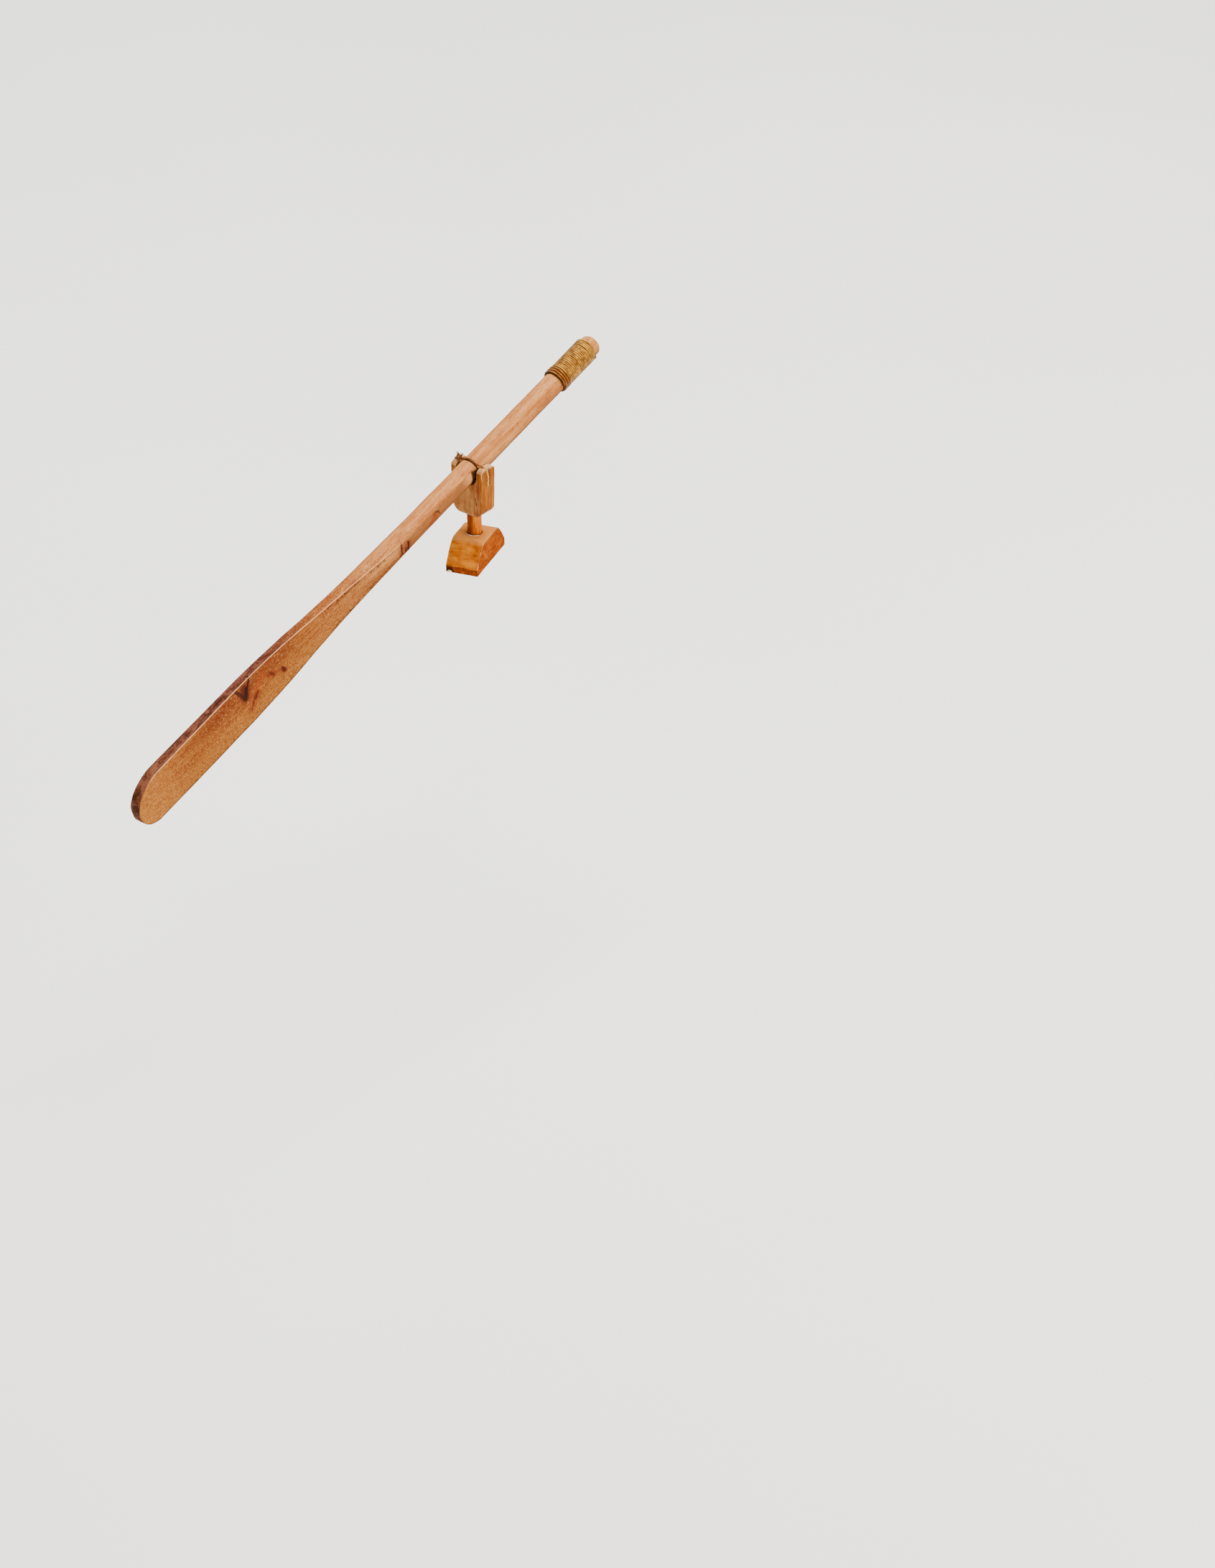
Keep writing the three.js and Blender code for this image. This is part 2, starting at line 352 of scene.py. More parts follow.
def convexity(mesh):
    """How far each vertex stands out from its neighbours, as a curvature in 1/mm."""
    places = np.array([vertex.co for vertex in mesh.vertices])
    normals = np.array([vertex.normal for vertex in mesh.vertices])
    starts, ends = np.array([edge.vertices for edge in mesh.edges]).T
    total, count = np.zeros(len(places)), np.zeros(len(places))
    for a, b in ((starts, ends), (ends, starts)):
        offset = places[b] - places[a]
        np.add.at(total, a, -2 * (offset * normals[a]).sum(1) / (offset ** 2).sum(1))
        np.add.at(count, a, 1)
    return total / count


def carved_copy(name, node, place, body, material, voxel, rounding, drift, reshape=None):
    """A CAD node's solid made fine, with its edges eased and its faces left slightly uneven."""
    mesh = frame["nodes"][node].data.copy()
    mesh.transform(Matrix.Scale(1 / MM, 4) @ place.inverted())
    source = bpy.data.objects.new(name + "_source", mesh)
    bpy.context.scene.collection.objects.link(source)
    fine = source.modifiers.new("fine", "REMESH")
    fine.mode = "VOXEL"
    fine.voxel_size = voxel
    eased = source.modifiers.new("eased", "SMOOTH")
    eased.factor = 0.5
    eased.iterations = rounding
    evaluated = source.evaluated_get(bpy.context.evaluated_depsgraph_get())
    result = bpy.data.meshes.new_from_object(evaluated)
    worn = np.clip(convexity(result), -1, 2)
    vertices = []
    for vertex in result.vertices:
        offset = wander(vertex.co, 5.0, drift, 3.1) + wander(vertex.co, 1.4, drift * 0.4, 8.3)
        moved = vertex.co + vertex.normal * offset
        vertices.append(reshape(moved) if reshape else moved)
    faces = [tuple(polygon.vertices) for polygon in result.polygons]
    bpy.data.objects.remove(source)
    piece = new_piece(name, vertices, faces, place, body, material, {"worn": worn})
    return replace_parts(piece, node)


# ---------------------------------------------------------------- the oar

LOOM_RUN, LOOM_RISE = 0.951, 0.309  # the loom lies 18 degrees off level in its slot
LOOM_RADIUS = 3.18
GRIP_RADIUS = 3.05
GRIP_END = 57.2
GRIP_DOME = 1.6
BLADE_END = -143.9
BLADE_HALF_WIDTH = 7.15
BLADE_HALF_THICK = 1.65

# The spindle's radius and half the distance between the flats, along the oar from the rowlock.
SPINDLE = [
    (-146, 7.1), (-120, BLADE_HALF_WIDTH), (-100, 7.1), (-90, 6.8), (-80, 6.1), (-70, 5.15),
    (-60, 4.35), (-50, 3.8), (-40, 3.5), (-28, 3.3), (-14, 3.22), (0, LOOM_RADIUS), (20, 3.17),
    (36, 3.14), (GRIP_END - GRIP_DOME, GRIP_RADIUS),
]
FLATS = [
    (-146, BLADE_HALF_THICK), (-63, BLADE_HALF_THICK), (-54, 1.9), (-44, 2.35), (-34, 2.78),
    (-25, 3.08), (-16, 3.32), (-8, 3.8), (0, 4.6), (GRIP_END, 4.6),
]
TIP_OUTSIDE = 0.3
TIP_UPPER, TIP_LOWER = 14, 9.4  # how far back the tip's corners start
TIP_NOSE_DROP = 1.25
NOSE_ROUND = 0.45  # radius of the edge at the very end of the blade
ARRIS_SHARPNESS = 55  # how crisply the flats meet the round edges
LEAST_FLAT = 0.1  # radians; keeps the mesh even where the flats have run out

BLADE_KNOT = (1.6, -99.0, 3.4)
BLADE_BEGINS = (-40.0, -70.0)  # from bare loom to full blade, along the oar

# Marks on the wood: each runs between two points, given along the oar and up from its middle, with
# its half width, the softness of its rim, its strength and its colour.
OAR_MARKS = [
    ((-98.4, 4.8), (-99.4, 2.2), 1.3, 1.6, 0.65, "5a1c08"),  # red wood round the knot
    ((-95.4, -0.2), (-98.8, -2.6), 0.5, 1.5, 0.5, "6b1d08"),  # the swirl beside it
    ((-94.9, 0.6), (-96.4, -1.0), 0.16, 0.4, 0.75, "3d0f0a"),
    ((-96.4, -0.2), (-97.6, -1.9), 0.1, 0.35, 0.6, "4a130a"),
    ((-97.6, -1.4), (-98.9, -3.1), 0.1, 0.35, 0.6, "4a130a"),
    ((-91.5, 3.6), (-95.4, 1.4), 0.4, 1.2, 0.45, "8a3005"),
    ((-98.9, 5.0), (-99.2, 2.4), 0.7, 0.9, 0.75, "3c180b"),  # the knot: two dark legs and its heart
    ((-98.2, 4.4), (-99.35, 1.7), 0.5, 0.4, 0.9, "260e07"),
    ((-96.1, 6.8), (-98.0, 4.0), 0.2, 0.25, 0.95, "1e0a06"),
    ((-101.8, 6.5), (-99.7, 2.0), 0.32, 0.45, 0.85, "2e1209"),
    ((-89.4, 1.9), (-88.0, 0.6), 0.4, 1.3, 0.6, "6b1d08"),  # two red smudges
    ((-89.0, 1.9), (-88.3, 0.8), 0.25, 0.5, 0.7, "3d0f0a"),
    ((-85.4, 0.3), (-84.2, -1.4), 0.4, 1.1, 0.6, "6b1d08"),
    ((-84.8, -0.1), (-84.2, -1.3), 0.3, 0.45, 0.85, "2f0a08"),
    ((-20.3, 0.9), (-19.4, 1.15), 0.08, 0.3, 0.6, "4a1c0a"),  # a small knot on the loom
    ((-19.4, 1.15), (-18.6, 0.75), 0.12, 0.3, 0.65, "3a140a"),
    ((-18.6, 0.75), (-18.2, -0.3), 0.12, 0.3, 0.6, "3a140a"),
    ((-20.2, 0.2), (-22.2, -1.2), 0.7, 0.8, 0.6, "7a2c0a"),
    ((-32.2, -0.2), (-34.6, -0.6), 0.7, 1.4, 0.55, "6e260d"),  # nicks where the loom begins
    ((-31.8, 0.6), (-32.6, -2.3), 0.24, 0.35, 0.9, "2a0b06"),
    ((-33.1, -0.6), (-33.9, -2.6), 0.2, 0.3, 0.85, "330d07"),
    ((-34.3, 1.8), (-34.9, -1.2), 0.2, 0.35, 0.85, "330d07"),
    ((-35.6, -1.0), (-35.9, -2.6), 0.09, 0.2, 0.7, "3a1007"),
]


def smooth_table(knots):
    """A smooth function through a table's points."""
    x = np.array([k[0] for k in knots], float)
    y = np.array([k[1] for k in knots], float)
    slope = np.gradient(y, x)

    def at(value):
        i = int(np.clip(np.searchsorted(x, value) - 1, 0, len(x) - 2))
        span = x[i + 1] - x[i]
        t = min(max((value - x[i]) / span, 0.0), 1.0)
        return ((2 * t ** 3 - 3 * t ** 2 + 1) * y[i] + (t ** 3 - 2 * t ** 2 + t) * span * slope[i]
                + (3 * t ** 2 - 2 * t ** 3) * y[i + 1] + (t ** 3 - t ** 2) * span * slope[i + 1])

    return at


def bezier(a, b, c, d, count=200):
    t = np.linspace(0, 1, count)[:, None]
    a, b, c, d = (np.array(p, float) for p in (a, b, c, d))
    return (1 - t) ** 3 * a + 3 * (1 - t) ** 2 * t * b + 3 * (1 - t) * t ** 2 * c + t ** 3 * d


def tip_limits():
    """The tip's outline above and below, as tables of distance along the oar and height."""
    half = BLADE_HALF_WIDTH + TIP_OUTSIDE
    nose = (BLADE_END, -TIP_NOSE_DROP)
    upper = bezier(nose, (BLADE_END, 0.5 * half), (BLADE_END + 0.35 * TIP_UPPER, half),
                   (BLADE_END + TIP_UPPER, half))
    lower = bezier(nose, (BLADE_END, -0.68 * half), (BLADE_END + 0.3 * TIP_LOWER, -half),
                   (BLADE_END + TIP_LOWER, -half))
    return upper, lower


def section_angles(beta):
    """Angles round a quarter of the section, closest together beside the arris at beta."""
    on_flat, on_edge = 8, 10
    flat = [beta * math.sin(PI / 2 * i / on_flat) for i in range(on_flat)]
    arc = [beta + (PI / 2 - beta) * (1 - math.cos(PI / 2 * i / on_edge)) for i in range(on_edge)]
    return flat + arc


def oar_stations():
    """Where the oar's cross-sections stand, closest together at its two ends."""
    in_tip, in_dome, step = 34, 8, 0.55
    tip = [BLADE_END + TIP_UPPER * (1 - math.cos(PI / 2 * i / in_tip)) for i in range(in_tip)]
    body = list(np.arange(BLADE_END + TIP_UPPER, GRIP_END - GRIP_DOME, step))
    dome = [GRIP_END - GRIP_DOME * (1 - math.sin(PI / 2 * i / in_dome)) for i in range(in_dome + 1)]
    return tip + body + dome


def oar_ring(y, spindle, flats, limits):
    """One cross-section: its points, and how far in from the arris each is, less than 0 round the edge."""
    radius = spindle(min(y, GRIP_END - GRIP_DOME))
    if y > GRIP_END - GRIP_DOME:
        rise = (y - (GRIP_END - GRIP_DOME)) / GRIP_DOME
        radius = max(GRIP_RADIUS * math.sqrt(max(1 - rise * rise, 0)), 0.02)
    flat = flats(y)
    nose = y - BLADE_END
    if nose < NOSE_ROUND:
        flat -= NOSE_ROUND - math.sqrt(max(NOSE_ROUND ** 2 - (NOSE_ROUND - nose) ** 2, 0))
    beta = max(math.acos(min(flat / radius, 1)), LEAST_FLAT)
    upper, lower = limits
    top = min(float(np.interp(y, upper[:, 0], upper[:, 1])), radius) if nose < TIP_UPPER else radius
    bottom = max(float(np.interp(y, lower[:, 0], lower[:, 1])), -radius) if nose < TIP_LOWER else -radius
    middle, half = (top + bottom) / 2, max((top - bottom) / 2, 0.01)
    quarter = section_angles(beta)
    angles = quarter + [PI / 2] + [PI - a for a in reversed(quarter)][:-1]
    angles += [PI + a for a in quarter] + [3 * PI / 2] + [2 * PI - a for a in reversed(quarter)][:-1]
    ring, inset = [], []
    for angle in angles:
        to_flat = max(flat, 0.01) / max(abs(math.cos(angle)), 1e-6)
        ratio = radius / to_flat
        if ratio < 1.2:
            reach = radius * (1 + ratio ** ARRIS_SHARPNESS) ** (-1 / ARRIS_SHARPNESS)
        else:
            reach = to_flat * (1 + ratio ** -ARRIS_SHARPNESS) ** (-1 / ARRIS_SHARPNESS)
        x, z = reach * math.cos(angle), reach * math.sin(angle)
        from_flat = min(angle % PI, PI - angle % PI)
        if from_flat < beta:
            inset.append(radius * math.sin(beta) - abs(z))
        else:
            inset.append((beta - from_flat) * radius)
        ring.append((x, y, middle + z / radius * half))
    return ring, inset


def make_oar():
    spindle, flats, limits = smooth_table(SPINDLE), smooth_table(FLATS), tip_limits()
    vertices, inset = [], []
    stations = oar_stations()
    for y in stations:
        ring, ring_inset = oar_ring(y, spindle, flats, limits)
        for x, y_here, z in ring:
            point = Vector((x, y_here, z))
            outward = Vector((x, 0, z))
            if outward.length > 0.5:
                drift = wander((x * 0.5, y_here * 0.25, z * 0.5), 2.2, 0.07, 4.4)
                drift += wander((x, y_here * 0.12, z), 0.8, 0.02, 9.9)
                point += outward.normalized() * drift
            vertices.append(point)
        inset += ring_inset
    sides = len(vertices) // len(stations)
    faces = ring_faces(len(stations), sides) + end_caps(len(stations), sides)
    piece = new_piece("oar_wood", vertices, faces, OAR, "oar", oar_finish(), {"inset": inset})
    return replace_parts(piece, "oar")


def oar_grain(wood, point):
    """The wood's noises. The first two bow round the blade's knot."""
    x, y, z = wood.split(point)
    from_knot = wood.vector("SUBTRACT", point, BLADE_KNOT)
    knot_distance = wood.vector("LENGTH", wood.scaled(from_knot, (0, 0.15, 0.3)))
    bow = wood.fade(knot_distance, 0.1, 1.4, 2.2, 0.0)
    flow = wood.join(x, wood.times(y, 0.06), wood.minus(z, bow))
    return SimpleNamespace(
        broad=wood.noise(flow, 0.5, detail=2.0, roughness=0.5, distortion=0.5),
        streaks=wood.noise(flow, 1.7, detail=4.0, roughness=0.6, distortion=0.4),
        patches=wood.stretched_noise(point, (0.55, 0.2, 0.55), detail=3.0, roughness=0.6, distortion=0.6),
        speckle=wood.stretched_noise(point, (4.0, 1.6, 4.0), detail=2.5, roughness=0.7),
        flecks=wood.stretched_noise(point, (2.8, 0.5, 2.8), detail=2.0, roughness=0.6),
        pores=wood.stretched_noise(point, (7.0, 1.3, 7.0), detail=1.5, roughness=0.6),
    )


def oar_ground(wood, point, grain):
    """The wood's own colours: pale on the loom, red and tan on the blade, speckled all over."""
    _, y, z = wood.split(point)
    finer = wood.plus(wood.times(grain.streaks, 0.35), wood.times(grain.patches, 0.3))
    mixed = wood.plus(wood.times(grain.broad, 0.35), finer)
    loom = wood.ramp(mixed, [(0.38, "965628"), (0.46, "a96934"), (0.53, "b6773f"), (0.62, "c0854f")])
    blade = wood.ramp(mixed, [(0.38, "6e2f0a"), (0.49, "854614"), (0.62, "995d21")])
    base = wood.mix(wood.fade(y, -80.0, -24.0), blade, loom)

    # The blade is tan along its lower half and at its tip, and redder along its upper half.
    height = wood.plus(z, wood.times(wood.minus(grain.patches, 0.5), 7.0))
    tan = wood.times(wood.fade(y, *BLADE_BEGINS), wood.fade(height, 1.0, -5.0, 0.0, 0.6))
    base = wood.mix(tan, base, "945b20")
    red_length = wood.times(wood.fade(y, -126.0, -110.0), wood.fade(y, -72.0, -84.0))
    base = wood.mix(wood.times(red_length, wood.fade(height, -1.0, 4.0, 0.0, 0.75)), base, "64250b")
    base = wood.mix(wood.fade(y, -122.0, -138.0, 0.0, 0.6), base, "a8692b")

    # Fine dark and pale speckle, rusty flecks and pores.
    on_loom = wood.fade(y, -60.0, -25.0)
    dark = wood.times(wood.fade(grain.speckle, 0.48, 0.36), wood.fade(on_loom, 0.0, 1.0, 0.7, 0.32))
    base = wood.mix(dark, base, "552309")
    pale = wood.times(wood.fade(grain.speckle, 0.53, 0.66), wood.fade(on_loom, 0.0, 1.0, 0.5, 0.3))
    base = wood.mix(pale, base, "c08a48")
    rust = wood.times(wood.fade(grain.flecks, 0.46, 0.34, 0.0, 0.5), wood.fade(on_loom, 0.0, 1.0, 1.0, 0.55))
    base = wood.mix(rust, base, "74340f")
    return wood.mix(wood.fade(grain.pores, 0.38, 0.28, 0.0, 0.45), base, "4b1d08")


def oar_edges(wood, point, grain, base):
    """Painted shade under the loom, over the neck's lower half and along the loom's upper outboard rim, and
    mauve round edges on the blade, partly wood colour and partly a painted reflection.
    """
    x, y, z = wood.split(point)
    # Painted shade: darker under the loom and over the lower half of the neck.
    under = wood.times(wood.fade(z, 0.3, -1.9), wood.fade(y, -60.0, -34.0), 0.9)
    neck = wood.times(wood.fade(z, 2.3, 1.3), wood.fade(y, -40.0, -32.0), wood.fade(y, -4.0, -8.0), 0.7)
    base = wood.mix(wood.larger(under, neck), base, "65320f")
    # Painted shade along the loom's upper outboard rim.
    upper_rim = wood.times(wood.fade(x, -0.9, -2.3), wood.fade(z, 0.8, 1.8), wood.fade(y, -60.0, -34.0))
    base = wood.mix(wood.times(upper_rim, 0.4), base, "7c5232")

    # The blade's round edges: darker wood mixed with the greyish mauve of a painted reflection.
    around_edge = wood.times(wood.fade(wood.attribute("inset"), 0.05, -0.05), wood.fade(y, -58.0, -96.0))
    mauve = wood.ramp(wood.plus(wood.times(grain.patches, 0.6), wood.times(grain.speckle, 0.4)),
                      [(0.4, "2b120d"), (0.48, "45231b"), (0.58, "6e4030")])
    return wood.mix(wood.times(around_edge, 0.9), base, mauve)


def oar_marks(wood, point, base):
    """A row of open pores just inside the arris, and the marks on the side that faces inboard."""
    x, y, _ = wood.split(point)
    inset = wood.attribute("inset")
    row = wood.times(wood.fade(inset, 1.5, 0.9), wood.fade(inset, 0.15, 0.4),
                     wood.fade(y, -70.0, -60.0), wood.fade(y, -36.0, -42.0))
    dashes = wood.fade(wood.stretched_noise(point, (2.6, 1.1, 2.6), detail=1.0), 0.52, 0.42)
    base = wood.mix(wood.times(row, dashes, 0.75), base, "3a1406")

    wobble = wood.join(0.0, wood.fade(wood.noise(point, 0.9, detail=1.0), 0.3, 0.7, -0.12, 0.12), 0.0)
    flat_point = wood.scaled(wood.vector("ADD", point, wobble), (0, 1, 1))
    marked_side = wood.fade(x, 0.2, 1.0)
    for start, end, width, soft, strength, code in OAR_MARKS:
        mask = wood.stroke(flat_point, (0, *start), (0, *end), width, soft)
        base = wood.mix(wood.times(mask, marked_side, strength), base, code)
    return base


def oar_painted_light_and_wear(wood, point, grain, base):
    """Painted shade along the lower arris, a pale upper arris that is partly wear and partly a painted
    highlight, painted shade on the loom in the crutch's slot, and a painted shadow ring under the lashing.
    """
    x, y, z = wood.split(point)
    from_arris = wood.size(wood.attribute("inset"))
    # Painted shade along the blade's lower arris.
    lower_rim = wood.times(wood.fade(from_arris, 0.7, 0.1), wood.fade(z, -1.0, -1.6))
    base = wood.mix(wood.times(lower_rim, wood.fade(y, *BLADE_BEGINS), 0.75), base, "3a1406")
    # A pale upper arris: partly wear, partly a painted highlight.
    along_arris = wood.times(wood.fade(y, -140.0, -134.0), wood.fade(y, -26.0, -42.0))
    arris = wood.times(wood.fade(from_arris, 0.17, 0.04), along_arris, wood.fade(z, 0.0, 0.5),
                       wood.fade(grain.flecks, 0.3, 0.46, 0.3, 0.8))
    base = wood.mix(arris, base, "e6a878")

    # Painted shade on the loom inside the crutch's slot and beside the inboard horn.
    level = wood.minus(wood.times(y, LOOM_RUN), wood.times(wood.plus(z, 1.9), LOOM_RISE))
    rise = wood.plus(wood.times(y, LOOM_RISE), wood.times(z, LOOM_RUN))
    in_slot = wood.times(wood.fade(level, 2.9, 2.4), wood.fade(level, -3.4, -2.9),
                         wood.fade(rise, 1.2, 0.2))
    beside_horn = wood.times(wood.fade(level, 0.0, -1.0), wood.fade(level, -4.3, -3.7),
                             wood.fade(rise, 1.5, 0.7), wood.fade(x, 2.3, 2.9))
    base = wood.mix(wood.times(wood.larger(in_slot, beside_horn), 0.95), base, "150803")
    # A painted shadow ring on the loom under the lashing's cord.
    ring = wood.fade(wood.size(wood.plus(y, 0.45)), 0.34, 0.12)
    return wood.mix(wood.times(ring, wood.fade(z, -1.0, 0.4), 0.9), base, "2a0f05")


def oar_finish():
    """Red-brown figured wood: pinker and paler on the loom, with knots and nicks, and a painted shadow ring
    under the lashing.
    """
    wood = Finish("oar_wood")
    point = wood.millimetres()
    grain = oar_grain(wood, point)
    base = oar_ground(wood, point, grain)
    base = oar_edges(wood, point, grain, base)
    base = oar_marks(wood, point, base)
    base = oar_painted_light_and_wear(wood, point, grain, base)
    relief = wood.plus(wood.times(grain.streaks, 0.5), wood.times(grain.pores, 0.5))
    normal = wood.bump(grain.speckle, 0.045, wood.bump(relief, 0.09))
    roughness = wood.fade(grain.streaks, 0.3, 0.7, 0.55, 0.42)
    return wood.finish({"Base Color": base, "Roughness": roughness, "Normal": normal},
                       Specular_IOR_Level=0.0, Coat_Weight=0.07, Coat_Roughness=0.3)


# ---------------------------------------------------------------- the whipping

WHIPPING_START, WHIPPING_END = 38.3, 53.6  # along the oar
WHIPPING_INNER = 3.24
COLLAR_TURNS, COLLAR_PITCH, COLLAR_THREAD = 3, 0.92, 0.3  # the thicker turns at its inner end
THREAD_PITCH, THREAD_RADIUS = 0.6, 0.23
COLLAR_GAP = 0.3  # between the thicker turns and the fine ones
THREAD_WIDEN = 1.34  # the thread is pressed flat as it is wound
STEPS_A_TURN = 56


def make_whipping():
    """One thread wound side by side, drawn in after three thicker turns."""
    turns = (WHIPPING_END - WHIPPING_START - COLLAR_TURNS * COLLAR_PITCH) / THREAD_PITCH
    parts = []
    for pitch, thread, count, start, seed in (
        (COLLAR_PITCH, COLLAR_THREAD, COLLAR_TURNS, WHIPPING_START + COLLAR_THREAD, 2.0),
        (THREAD_PITCH, THREAD_RADIUS, turns, WHIPPING_START + COLLAR_TURNS * COLLAR_PITCH + COLLAR_GAP, 6.0),
    ):
        path = []
        for i in range(int(count * STEPS_A_TURN) + 1):
            turn = i / STEPS_A_TURN
            angle = 2 * PI * turn
            slip = 0.11 * noise.noise(Vector((turn * 1.7, seed, 0))) + 0.10 * noise.noise(
                Vector((math.cos(angle) * 1.3, math.sin(angle) * 1.3, turn * 0.35 + seed)))
            lift = 0.05 * noise.noise(Vector((turn * 2.3, 0, seed)))
            reach = WHIPPING_INNER + thread + 0.02 + lift
            y = start + pitch * turn + slip
            path.append(Vector((reach * math.cos(angle), y, reach * math.sin(angle))))
        parts.append(tube(path, [thread] * len(path), 10, THREAD_WIDEN))
    vertices, faces, attributes = joined(parts)
    piece = new_piece("grip_thread", vertices, faces, OAR, "oar", thread_finish(), attributes)
    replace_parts(piece, "grip_whipping")

    # A dark sheet under the thread, seen only in the gaps between its turns: painted shade.
    sides = 64
    ring = [Vector((math.cos(2 * PI * j / sides), 0, math.sin(2 * PI * j / sides))) for j in range(sides)]
    profile = [(3.12, WHIPPING_START + 0.12), (3.3, WHIPPING_START + 0.2), (3.36, WHIPPING_START + 0.6),
               (3.36, WHIPPING_END - 0.4), (3.28, WHIPPING_END - 0.1), (3.1, WHIPPING_END)]
    vertices = [point * reach + Vector((0, y, 0)) for reach, y in profile for point in ring]
    faces = ring_faces(len(profile), sides)
    last = (len(profile) - 1) * sides
    for j in range(sides):
        following = (j + 1) % sides
        faces.append((j + last, following + last, following, j))
    gap_shade = new_piece("grip_thread_gap_shade", vertices, faces, OAR, "oar", gap_shade_finish())


def thread_finish():
    """Bronze two-ply thread, its pale streaks partly painted glints, with painted shade in the grooves
    between its plies.
    """
    thread = Finish("whipping_thread")
    point = thread.millimetres()
    along, around = thread.attribute("along"), thread.attribute("around")
    phase = thread.plus(thread.times(along, 1 / 0.33), thread.times(around, 1.0))
    ply = thread.size(thread.math("SINE", thread.times(phase, PI)))
    patches = thread.noise(point, 0.7, detail=3.0, roughness=0.6)
    hairs = thread.noise(thread.join(along, thread.times(around, 6.0), 0.0), 5.0, detail=2.0)
    base = thread.ramp(patches, [(0.38, "653808"), (0.5, "885611"), (0.62, "ae7b28")])
    # Pale streaks along the fibres: partly fibre colour, partly painted glints.
    base = thread.mix(thread.fade(hairs, 0.4, 0.7, 0.0, 0.3), base, "d8a24c")
    # Painted shade in the grooves between the plies.
    base = thread.mix(thread.fade(ply, 0.4, 0.0, 0.0, 0.28), base, "3c1b05")

    # Redder on the thicker turns, with painted shade, nearly black, where they meet the loom, and painted
    # shade underneath.
    _, y, z = thread.split(point)
    base = thread.mix(thread.fade(y, 41.6, 40.9, 0.0, 0.6), base, "6a2c0a")
    base = thread.mix(thread.fade(y, 38.75, 38.5, 0.0, 0.8), base, "240d03")
    base = thread.mix(thread.fade(z, 0.2, -2.4, 0.0, 0.6), base, "4a2408")
    relief = thread.plus(ply, thread.times(hairs, 0.3))
    return thread.finish({"Base Color": base, "Roughness": thread.fade(patches, 0.3, 0.7, 0.42, 0.28),
                          "Normal": thread.bump(relief, 0.03)},
                         Metallic=0.45, Specular_IOR_Level=0.1)


def gap_shade_finish():
    # Painted shade: the dark colour of the gaps between the thread's turns.
    gap_shade = Finish("whipping_gap_shade")
    patches = gap_shade.noise(gap_shade.millimetres(), 2.0, detail=3.0)
    base = gap_shade.ramp(patches, [(0.35, "2c170a"), (0.65, "5a3416")])
    return gap_shade.finish({"Base Color": base, "Roughness": gap_shade.fade(patches, 0.3, 0.7, 0.8, 0.6),
                       "Normal": gap_shade.bump(patches, 0.05)}, Specular_IOR_Level=0.0)


# ---------------------------------------------------------------- the lashing

PLY_RADIUS, PLY_OFFSET, PLY_PITCH = 0.175, 0.145, 1.0

# The cord's route in the lashing's own axes: X from horn to horn, Y along the loom, Z up.
CORD_ROUTE = [
    (-4.6, 0, 0), (-5.3, 0, 0), (-5.6, 0.05, 0.45), (-5.62, 0.1, 1.8), (-5.58, 0.1, 3.0),
    (-5.2, 0.05, 3.85), (-4.4, 0, 4.18), (-2.95, 0, 4.22), (-2.0, -0.05, 4.86), (-1.05, -0.05, 5.3),
    (0, -0.05, 5.45), (1.05, 0, 5.3), (2.0, 0, 4.86), (2.95, 0, 4.22), (4.4, 0.05, 4.18),
    (5.2, 0.15, 3.85), (5.58, 0.2, 3.0), (5.62, 0.1, 1.8), (5.6, 0, 0.45), (5.3, 0, 0), (4.6, 0, 0),
]
# Its spare end, out of the inboard horn's hole and down the horn's face.
CORD_TAIL = [
    (4.7, -0.1, -0.1), (5.4, -0.12, -0.12), (5.58, -0.35, -0.6), (5.58, -0.75, -1.25), (5.55, -1.0, -1.9),
]
# The knot on the outboard horn: a wrap round the cord, ending in two short tails.
KNOT_MIDDLE = (-3.7, 0, 4.55)
KNOT_TAILS = [
    [(-3.5, 0.2, 4.6), (-3.6, 0.35, 5.1), (-3.9, 0.3, 5.55), (-4.1, 0.1, 6.0)],
    [(-3.4, -0.2, 4.7), (-3.0, 0.1, 5.2), (-2.75, 0.35, 5.5), (-2.5, 0.5, 5.75)],
]


def two_ply(points, ply_radius=PLY_RADIUS, ply_offset=PLY_OFFSET, pitch=PLY_PITCH, taper=0.0):
    """Two strands twisted round each other along a route."""
    path = curve_through(points, 0.09)
    frames = carried_frames(path)
    distances = [0.0]
    for a, b in zip(path, path[1:]):
        distances.append(distances[-1] + (b - a).length)
    parts = []
    for start in (0.0, PI):
        strand, radii = [], []
        for point, (_, u, v), distance in zip(path, frames, distances):
            angle = start + 2 * PI * distance / pitch
            opened = 1 + 1.6 * taper * (distance / distances[-1]) ** 3
            strand.append(point + ply_offset * opened * (u * math.cos(angle) + v * math.sin(angle)))
            radii.append(ply_radius * (1 - 0.35 * taper * (distance / distances[-1]) ** 2))
        parts.append(tube(strand, radii, 10))
    return parts


def knot_route():
    """An overhand wrap round the cord at the knot's middle."""
    middle = Vector(KNOT_MIDDLE)
    route = []
    for i in range(26):
        turn = 2 * PI * i / 12
        reach = 0.52 + 0.07 * math.sin(turn * 1.5)
        route.append(middle + Vector((-0.5 + i * 0.04, reach * math.cos(turn), reach * math.sin(turn))))
    return route


